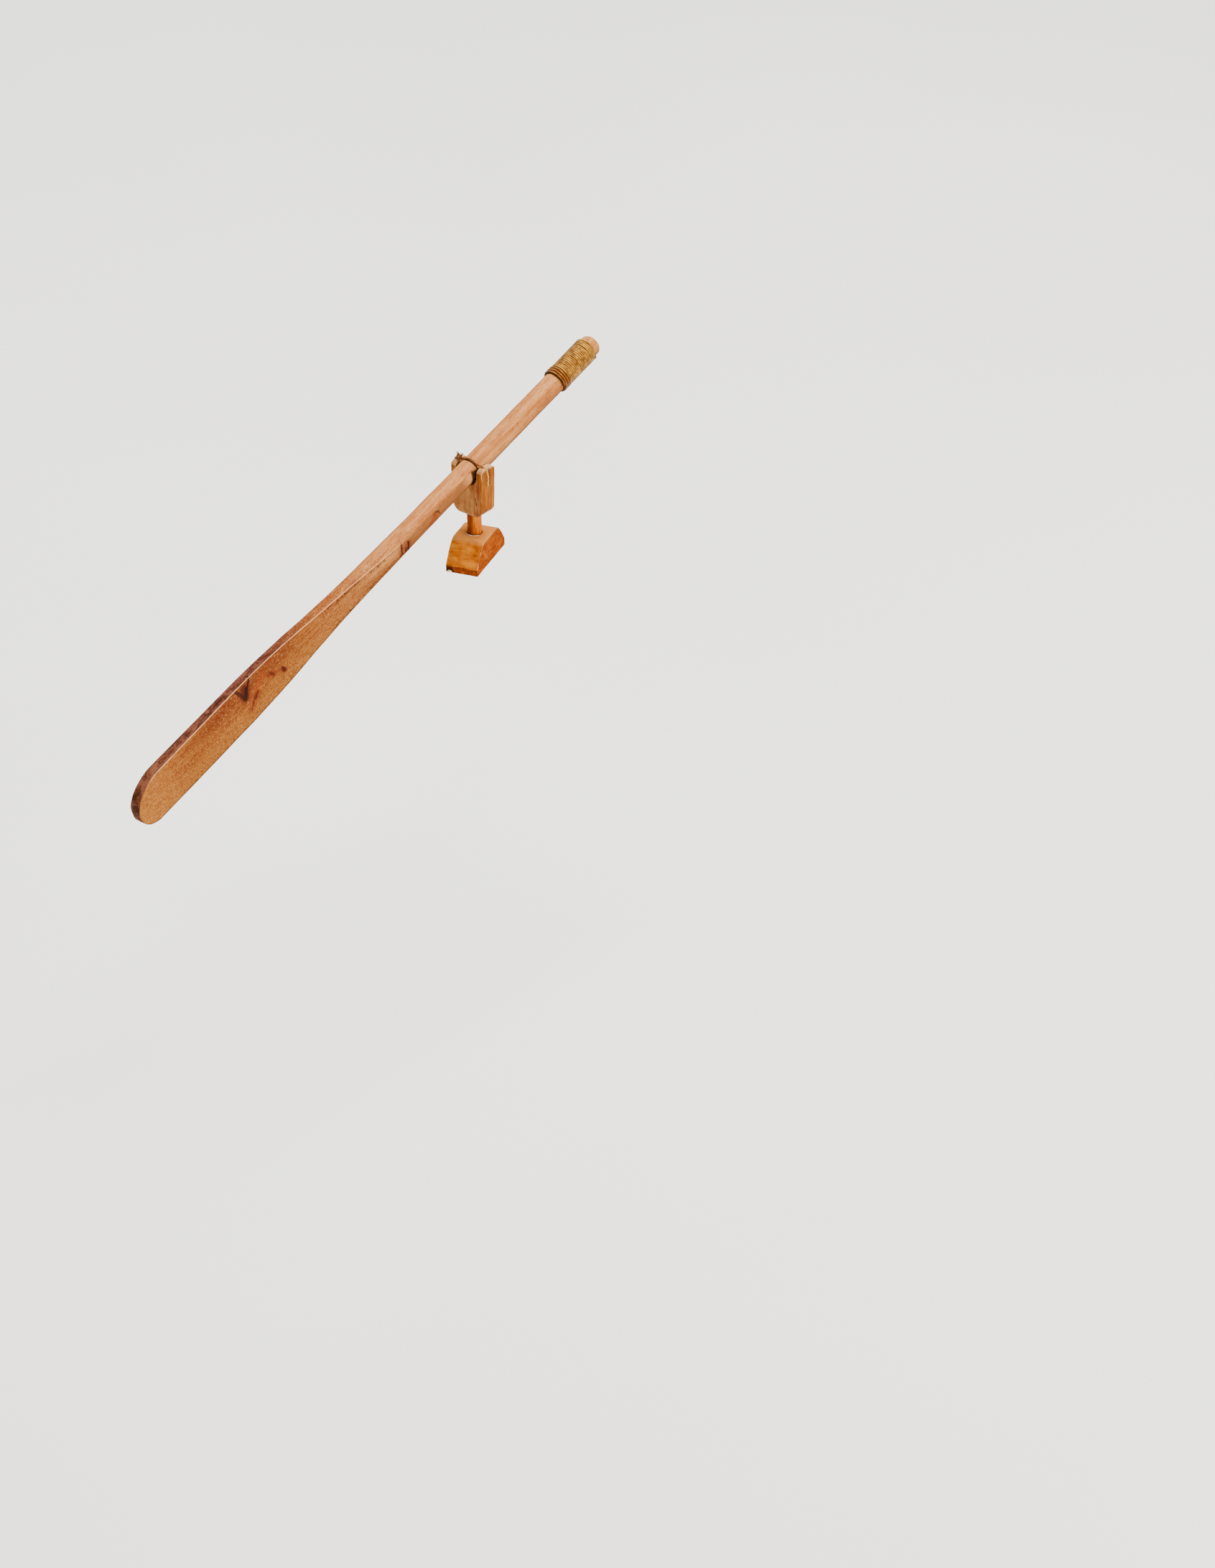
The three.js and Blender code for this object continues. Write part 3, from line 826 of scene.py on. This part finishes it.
def frayed_end(tip, direction, count, length, seed):
    """Loose fibres where a strand was cut."""
    parts = []
    direction = Vector(direction).normalized()
    for i in range(count):
        spread = Vector((noise.noise(Vector((seed, i * 3.7, 0))), noise.noise(Vector((i * 3.7, seed, 5))),
                         noise.noise(Vector((seed, 7, i * 3.7)))))
        end = Vector(tip) + (direction + 1.3 * spread) * length
        middle = Vector(tip) + (direction + 0.4 * spread) * length * 0.5
        path = curve_through([Vector(tip) - direction * 0.15, middle, end], 0.08)
        parts.append(tube(path, [0.035] * len(path), 5))
    return parts


def make_lashing():
    parts = two_ply(CORD_ROUTE)
    parts += two_ply(CORD_TAIL, taper=0.6)
    parts += frayed_end(CORD_TAIL[-1], (0, -0.5, -1), 9, 0.5, 1.0)
    parts += two_ply(knot_route(), 0.15, 0.13, 0.8)
    for i, tail in enumerate(KNOT_TAILS):
        parts += two_ply(tail, 0.15, 0.13, 0.8, taper=1.0)
        parts += frayed_end(tail[-1], Vector(tail[-1]) - Vector(tail[-2]), 7, 0.35, 11.0 + i)
    vertices, faces, attributes = joined(parts)
    piece = new_piece("lashing_cord", vertices, faces, LASHING, "lashing", cord_finish(), attributes)
    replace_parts(piece, "lashing")


def cord_finish():
    """Tan twisted cord, darker over the loom, with a painted highlight down the inboard horn."""
    cord = Finish("lashing_cord")
    point = cord.millimetres()
    x = cord.split(point)[0]
    along, around = cord.attribute("along"), cord.attribute("around")
    twist = cord.plus(cord.times(around, 5.0), cord.times(along, 3.0))
    hairs = cord.noise(cord.join(cord.times(along, 2.0), twist, 0.0), 3.0, detail=2.0, roughness=0.6)
    patches = cord.noise(point, 1.1, detail=2.0)
    base = cord.ramp(patches, [(0.34, "6f370c"), (0.5, "92531b"), (0.66, "b2722e")])
    # Painted highlight on the cord down the inboard horn.
    base = cord.mix(cord.times(cord.fade(x, 4.6, 5.3), 0.85), base, "cf9a48")
    base = cord.mix(cord.times(cord.fade(x, -2.6, -3.2), 0.4), base, "b98048")
    over_loom = cord.times(cord.fade(x, 2.4, 1.6), cord.fade(x, -5.0, -4.2))
    base = cord.mix(cord.times(over_loom, 0.45), base, "4e2408")
    base = cord.mix(cord.fade(hairs, 0.46, 0.28, 0.0, 0.7), base, "2c1205")
    return cord.finish({"Base Color": base, "Roughness": cord.fade(patches, 0.3, 0.7, 0.6, 0.42),
                        "Normal": cord.bump(hairs, 0.06)},
                       Specular_IOR_Level=0.2)


# ---------------------------------------------------------------- the rowlock

PIN_RADIUS = 2.07
PIN_LOW, PIN_HIGH = 2.3, 19.25
PIN_BEVEL, PIN_BEVEL_HEIGHT = 0.18, 0.25

CHOCK_LOW, CHOCK_HIGH = (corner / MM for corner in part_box("chock"))
CHOCK_TOP_HALF = 5.1  # half the length of its level top
CHOCK_FOOT = 2.1  # height of its upright end faces
SHOULDER = 1.7  # how far the rounding reaches down each side of the shoulder

# Cracks in the crutch's near face: two ends across and up, the half width and the strength.
CRUTCH_CRACKS = [
    ((3.4, 18.9), (3.1, 20.9), 0.07, 0.92),
    ((3.1, 20.8), (3.15, 22.2), 0.02, 0.5),
    ((-2.2, 17.6), (-2.1, 18.8), 0.02, 0.35),
]


def make_pin():
    sides, vertices = 64, []
    heights = list(np.arange(PIN_LOW, PIN_HIGH, 0.3)) + [PIN_HIGH]
    for z in heights:
        bevel = PIN_BEVEL * max(0, 1 - (z - PIN_LOW) / PIN_BEVEL_HEIGHT)
        for j in range(sides):
            angle = 2 * PI * j / sides
            x, y = math.cos(angle), math.sin(angle)
            reach = PIN_RADIUS - bevel + wander((x * 2, y * 2, z * 0.3), 1.2, 0.035, 5.2) - 0.02
            vertices.append((reach * x, reach * y, z))
    faces = ring_faces(len(heights), sides) + end_caps(len(heights), sides)
    piece = new_piece("pin_wood", vertices, faces, ROWLOCK, "rowlock", pin_finish())
    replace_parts(piece, "pin")


def pin_finish():
    """Amber dowel with upright grain, painted shade down one side, and darker where glue has soaked in under
    the crutch.
    """
    wood = Finish("pin_wood")
    point = wood.millimetres()
    z = wood.split(point)[2]
    streaks = wood.stretched_noise(point, (2.0, 2.0, 0.16), detail=4.0, roughness=0.6)
    blots = wood.stretched_noise(point, (1.1, 1.1, 0.7), detail=3.0, roughness=0.65)
    pores = wood.stretched_noise(point, (8.0, 8.0, 0.9), detail=2.0, roughness=0.6)
    base = wood.ramp(streaks, [(0.36, "9e4202"), (0.5, "c06204"), (0.64, "d4780c")])
    # Painted shade down one side of the pin.
    from_painted_shade = wood.plus(wood.vector("DOT_PRODUCT", point, (0.75, 0.66, 0)),
                           wood.times(wood.minus(blots, 0.5), 0.8))
    base = wood.mix(wood.fade(from_painted_shade, -0.15, -0.7, 0.0, 0.75), base, "6e1f03")
    base = wood.mix(wood.fade(blots, 0.42, 0.32, 0.0, 0.6), base, "6b2203")
    base = wood.mix(wood.fade(pores, 0.42, 0.3, 0.0, 0.5), base, "5c2003")
    base = wood.mix(wood.fade(z, 14.4, 15.2, 0.0, 0.7), base, "431302")
    base = wood.mix(wood.fade(z, 8.75, 8.35, 0.0, 0.6), base, "4a1702")
    return wood.finish({"Base Color": base, "Roughness": wood.fade(streaks, 0.3, 0.7, 0.45, 0.3),
                        "Normal": wood.bump(wood.plus(streaks, pores), 0.05)},
                       Specular_IOR_Level=0.0, Coat_Weight=0.05, Coat_Roughness=0.25)


def crutch_finish():
    """Grey-brown end faces and orange-brown sides, with upright grain, a crack and dark corners."""
    wood = Finish("crutch_wood")
    point = wood.millimetres()
    x, y, z = wood.split(point)
    flow = wood.join(x, y, wood.times(z, 0.12))
    streaks = wood.noise(flow, 1.1, detail=3.0, roughness=0.55, distortion=0.35)
    fine = wood.stretched_noise(point, (4.5, 4.5, 0.8), detail=3.0, roughness=0.6)
    clouds = wood.noise(point, 0.45, detail=2.0, roughness=0.5)
    pores = wood.stretched_noise(point, (4.5, 4.5, 0.7), detail=1.0, roughness=0.5)
    base = wood.ramp(wood.plus(wood.times(streaks, 0.6), wood.times(clouds, 0.4)),
                     [(0.38, "895223"), (0.5, "9e632f"), (0.62, "b1773e")])

    # The sides are redder and yellower than the two end faces.
    on_side = wood.fade(wood.size(x), 4.4, 5.0)
    amber = wood.ramp(wood.plus(wood.times(streaks, 0.7), wood.times(fine, 0.3)),
                      [(0.38, "723202"), (0.5, "8b4906"), (0.62, "9f6213")])
    base = wood.mix(wood.times(on_side, 0.85), base, amber)
    near_corner = wood.times(wood.fade(x, 1.6, 3.4), wood.fade(x, 5.0, 4.4))
    base = wood.mix(wood.times(near_corner, wood.fade(streaks, 0.56, 0.42, 0.2, 0.65)), base, "7a2c0c")
    worn = wood.attribute("worn")
    corner = wood.times(wood.fade(worn, 0.25, 0.8), wood.fade(z, 27.5, 25.0))
    base = wood.mix(wood.times(corner, wood.fade(fine, 0.36, 0.56, 0.6, 0.2)), base, "5a2208")
    # Pale crown edges: partly wear, partly a painted highlight.
    crown = wood.times(wood.fade(worn, 0.2, 0.8), wood.fade(z, 26.5, 28.5))
    base = wood.mix(wood.times(crown, 0.5), base, "d8a26c")
    # Painted shadow on the inboard horn beside the lashing's cord.
    beside_cord = wood.times(wood.fade(wood.size(y), 0.95, 0.35), wood.fade(z, 24.2, 25.0),
                             wood.fade(x, 4.7, 5.0))
    base = wood.mix(wood.times(beside_cord, 0.75), base, "3d1806")
    base = wood.mix(wood.fade(pores, 0.33, 0.27, 0.0, 0.55), base, "48200a")

    # Pale crowns on the horns, partly wear and partly a painted highlight, and a painted highlight along the
    # lower edges.
    base = wood.mix(wood.fade(z, 29.2, 30.4, 0.0, 0.55), base, "d39c68")
    # Painted highlight along the lower edges.
    base = wood.mix(wood.times(wood.fade(z, 15.9, 15.3), 0.35), base, "c58a58")

    # Cracks in the near face, each slightly crooked.
    warped = wood.vector("ADD", point, wood.join(wood.fade(clouds, 0.3, 0.7, -0.15, 0.15), 0.0, 0.0))
    flat_point = wood.scaled(warped, (1, 0, 1))
    front = wood.fade(y, -2.0, -2.6)
    for start, end, width, strength in CRUTCH_CRACKS:
        mask = wood.stroke(flat_point, (start[0], 0, start[1]), (end[0], 0, end[1]), width, 0.12)
        base = wood.mix(wood.times(mask, front, strength), base, "1f0c04")
    relief = wood.plus(wood.times(fine, 0.6), wood.fade(pores, 0.33, 0.27, 0.4, 0.0))
    return wood.finish({"Base Color": base, "Roughness": wood.fade(streaks, 0.3, 0.7, 0.62, 0.48),
                        "Normal": wood.bump(relief, 0.07)},
                       Specular_IOR_Level=0.0, Coat_Weight=0.08, Coat_Roughness=0.3)


def chock_finish():
    """Honey-coloured varnished wood: streaked on its slope, worn pale at its edges, dark at its foot."""
    wood = Finish("chock_wood")
    point = wood.millimetres()
    x, y, z = wood.split(point)
    lengthwise = wood.join(x, wood.times(y, 0.3), z)
    streaks = wood.noise(lengthwise, 1.2, detail=4.0, roughness=0.6, distortion=0.6)
    crosswise = wood.join(wood.times(x, 0.22), y, z)
    bands = wood.noise(crosswise, 1.0, detail=4.0, roughness=0.62, distortion=0.5)
    clouds = wood.noise(point, 0.26, detail=3.0, roughness=0.6)
    speckle = wood.noise(point, 2.6, detail=2.0, roughness=0.7)
    mixed = wood.plus(wood.times(bands, 0.5), wood.times(clouds, 0.5))
    base = wood.ramp(mixed, [(0.36, "783803"), (0.48, "a75506"), (0.62, "c27310")])
    base = wood.mix(wood.fade(speckle, 0.44, 0.3, 0.0, 0.28), base, "5e2a04")
    base = wood.mix(wood.fade(speckle, 0.58, 0.72, 0.0, 0.35), base, "c98225")

    # The side that faces inboard is a deeper orange, with a pale streak along it.
    inboard = wood.fade(x, 4.35, 4.7)
    orange = wood.ramp(streaks, [(0.36, "6c2700"), (0.52, "863900"), (0.66, "9c4c02")])
    base = wood.mix(wood.times(inboard, 0.95), base, orange)
    side_point = wood.scaled(point, (0, 1, 1))
    streak = wood.stroke(side_point, (0, -5.6, 5.6), (0, -3.2, 2.8), 0.05, 0.9)
    base = wood.mix(wood.times(streak, inboard, 0.25), base, "b87428")

    # Paler towards the top: painted light on the top face.
    base = wood.mix(wood.times(wood.fade(z, 7.3, 8.3), 0.5), base, "c98a48")

    # Edges worn pale.
    on_corner = wood.larger(wood.fade(wood.size(x), 4.1, 4.5), wood.fade(z, 2.7, 2.3))
    broken = wood.times(wood.fade(clouds, 0.42, 0.56, 0.25, 1.0), wood.fade(speckle, 0.36, 0.52, 0.3, 1.0))
    worn = wood.times(wood.fade(wood.attribute("worn"), 0.7, 1.5), on_corner, broken)
    base = wood.mix(wood.times(worn, wood.fade(z, 1.0, 1.9, 0.0, 0.75)), base, "dfa25c")

    # The upright face at the near foot is dark red-brown.
    ragged = wood.plus(z, wood.times(wood.minus(streaks, 0.5), 0.35))
    foot = wood.times(wood.fade(ragged, 2.15, 1.95), wood.fade(y, -9.6, -9.95))
    foot_colour = wood.ramp(wood.plus(wood.times(speckle, 0.4), wood.times(streaks, 0.6)),
                            [(0.38, "5c1d02"), (0.5, "7c3004"), (0.62, "964a10")])
    base = wood.mix(wood.times(foot, 0.95), base, foot_colour)
    base = wood.mix(wood.fade(z, 0.3, 0.0, 0.0, 0.75), base, "2c0a02")
    seep = wood.vector("LENGTH", wood.vector("SUBTRACT", point, (-3.7, -10.2, 0.5)))
    base = wood.mix(wood.fade(seep, 1.9, 1.0, 0.0, 0.85), base, "2a0c03")
    relief = wood.plus(bands, wood.times(speckle, 0.5))
    return wood.finish({"Base Color": base, "Roughness": wood.fade(streaks, 0.3, 0.7, 0.42, 0.3),
                        "Normal": wood.bump(relief, 0.06)},
                       Specular_IOR_Level=0.0, Coat_Weight=0.03, Coat_Roughness=0.25)


def round_shoulder(point):
    """Turns the chock's crisp step from its top to its slopes into a rounded shoulder."""
    steepness = (CHOCK_HIGH.z - CHOCK_FOOT) / (CHOCK_HIGH.y - CHOCK_TOP_HALF)
    slope = CHOCK_HIGH.z - steepness * (abs(point.y) - CHOCK_TOP_HALF)
    crisp = min(CHOCK_HIGH.z, slope)
    dip = max(SHOULDER - abs(CHOCK_HIGH.z - slope), 0) ** 2 / (4 * SHOULDER)
    share = min(max((point.z - CHOCK_FOOT) / max(crisp - CHOCK_FOOT, 0.1), 0), 1)
    return Vector((point.x, point.y, point.z - dip * share))


def make_rowlock_blocks():
    crutch = carved_copy("crutch_wood", "crutch", ROWLOCK, "rowlock", crutch_finish(), 0.13, 4, 0.06)
    chock = carved_copy("chock_wood", "chock", CHOCK, "chock", chock_finish(), 0.14, 3, 0.06,
                        round_shoulder)


# ---------------------------------------------------------------- dried glue

GLUE_BEAD_FROM, GLUE_BEAD_TO = -150, -38  # degrees round the pin
GLUE_BEAD_REACH = 2.42
GLUE_BLOB_SIZE = (0.62, 0.3, 0.32)


def glue_finish():
    glue = Finish("dried_glue")
    patches = glue.noise(glue.millimetres(), 2.2, detail=3.0)
    base = glue.ramp(patches, [(0.35, "c09858"), (0.6, "eedcae")])
    return glue.finish({"Base Color": base, "Roughness": glue.fade(patches, 0.3, 0.7, 0.35, 0.2),
                        "Normal": glue.bump(patches, 0.06)},
                       Subsurface_Weight=0.15, Subsurface_Radius=(0.0006, 0.0005, 0.0003))


def make_glue():
    """Dried glue: a squeeze at the chock's near outboard corner, and a bead round the pin's near side."""
    shell = bmesh.new()
    bmesh.ops.create_icosphere(shell, subdivisions=5, radius=1.0)
    middle = CHOCK_LOW + Vector((1.15, -0.02, 0.42))
    vertices = []
    for vertex in shell.verts:
        p = vertex.co
        swell = 1 + 0.28 * noise.noise(p * 1.6 + Vector((3, 1, 4))) + 0.10 * noise.noise(p * 5.0)
        vertices.append(middle + p * Vector(GLUE_BLOB_SIZE) * swell)
    faces = [tuple(v.index for v in face.verts) for face in shell.faces]
    shell.free()
    piece = new_piece("chock_glue", vertices, faces, CHOCK, "chock", glue_finish())

    path, radii = [], []
    for i in range(61):
        share = i / 60
        angle = math.radians(GLUE_BEAD_FROM + (GLUE_BEAD_TO - GLUE_BEAD_FROM) * share)
        reach = GLUE_BEAD_REACH + 0.06 * noise.noise(Vector((share * 6, 2, 0)))
        path.append(Vector((reach * math.cos(angle), reach * math.sin(angle), CHOCK_HIGH.z + 0.02)))
        lumps = 1 + 0.5 * noise.noise(Vector((share * 9, 5, 1)))
        radii.append(0.03 + 0.12 * math.sin(PI * share) ** 0.6 * lumps)
    vertices, faces, _, _ = tube(path, radii, 10)
    bead = new_piece("pin_glue", vertices, faces, CHOCK, "chock", glue_finish())


# ---------------------------------------------------------------- floor


def make_floor():
    floor_paint = Finish("floor")
    mottle = floor_paint.noise(floor_paint.node("ShaderNodeTexCoord").outputs["Object"], 3.0, detail=3.0)
    base = floor_paint.ramp(mottle, [(0.3, "efedea"), (0.7, "f6f4f1")])
    material = floor_paint.finish({"Base Color": base}, Roughness=0.7)
    corners = [(-6, -6), (6, -6), (6, 6), (-6, 6)]
    mesh = bpy.data.meshes.new("floor")
    mesh.from_pydata([(x, y, -FLOOR_DROP) for x, y in corners], [], [(0, 1, 2, 3)])
    mesh.materials.append(material)
    floor = bpy.data.objects.new("floor", mesh)
    bpy.context.scene.collection.objects.link(floor)


make_camera()
make_studio()
make_floor()
make_oar()
make_whipping()
make_lashing()
make_pin()
make_rowlock_blocks()
make_glue()
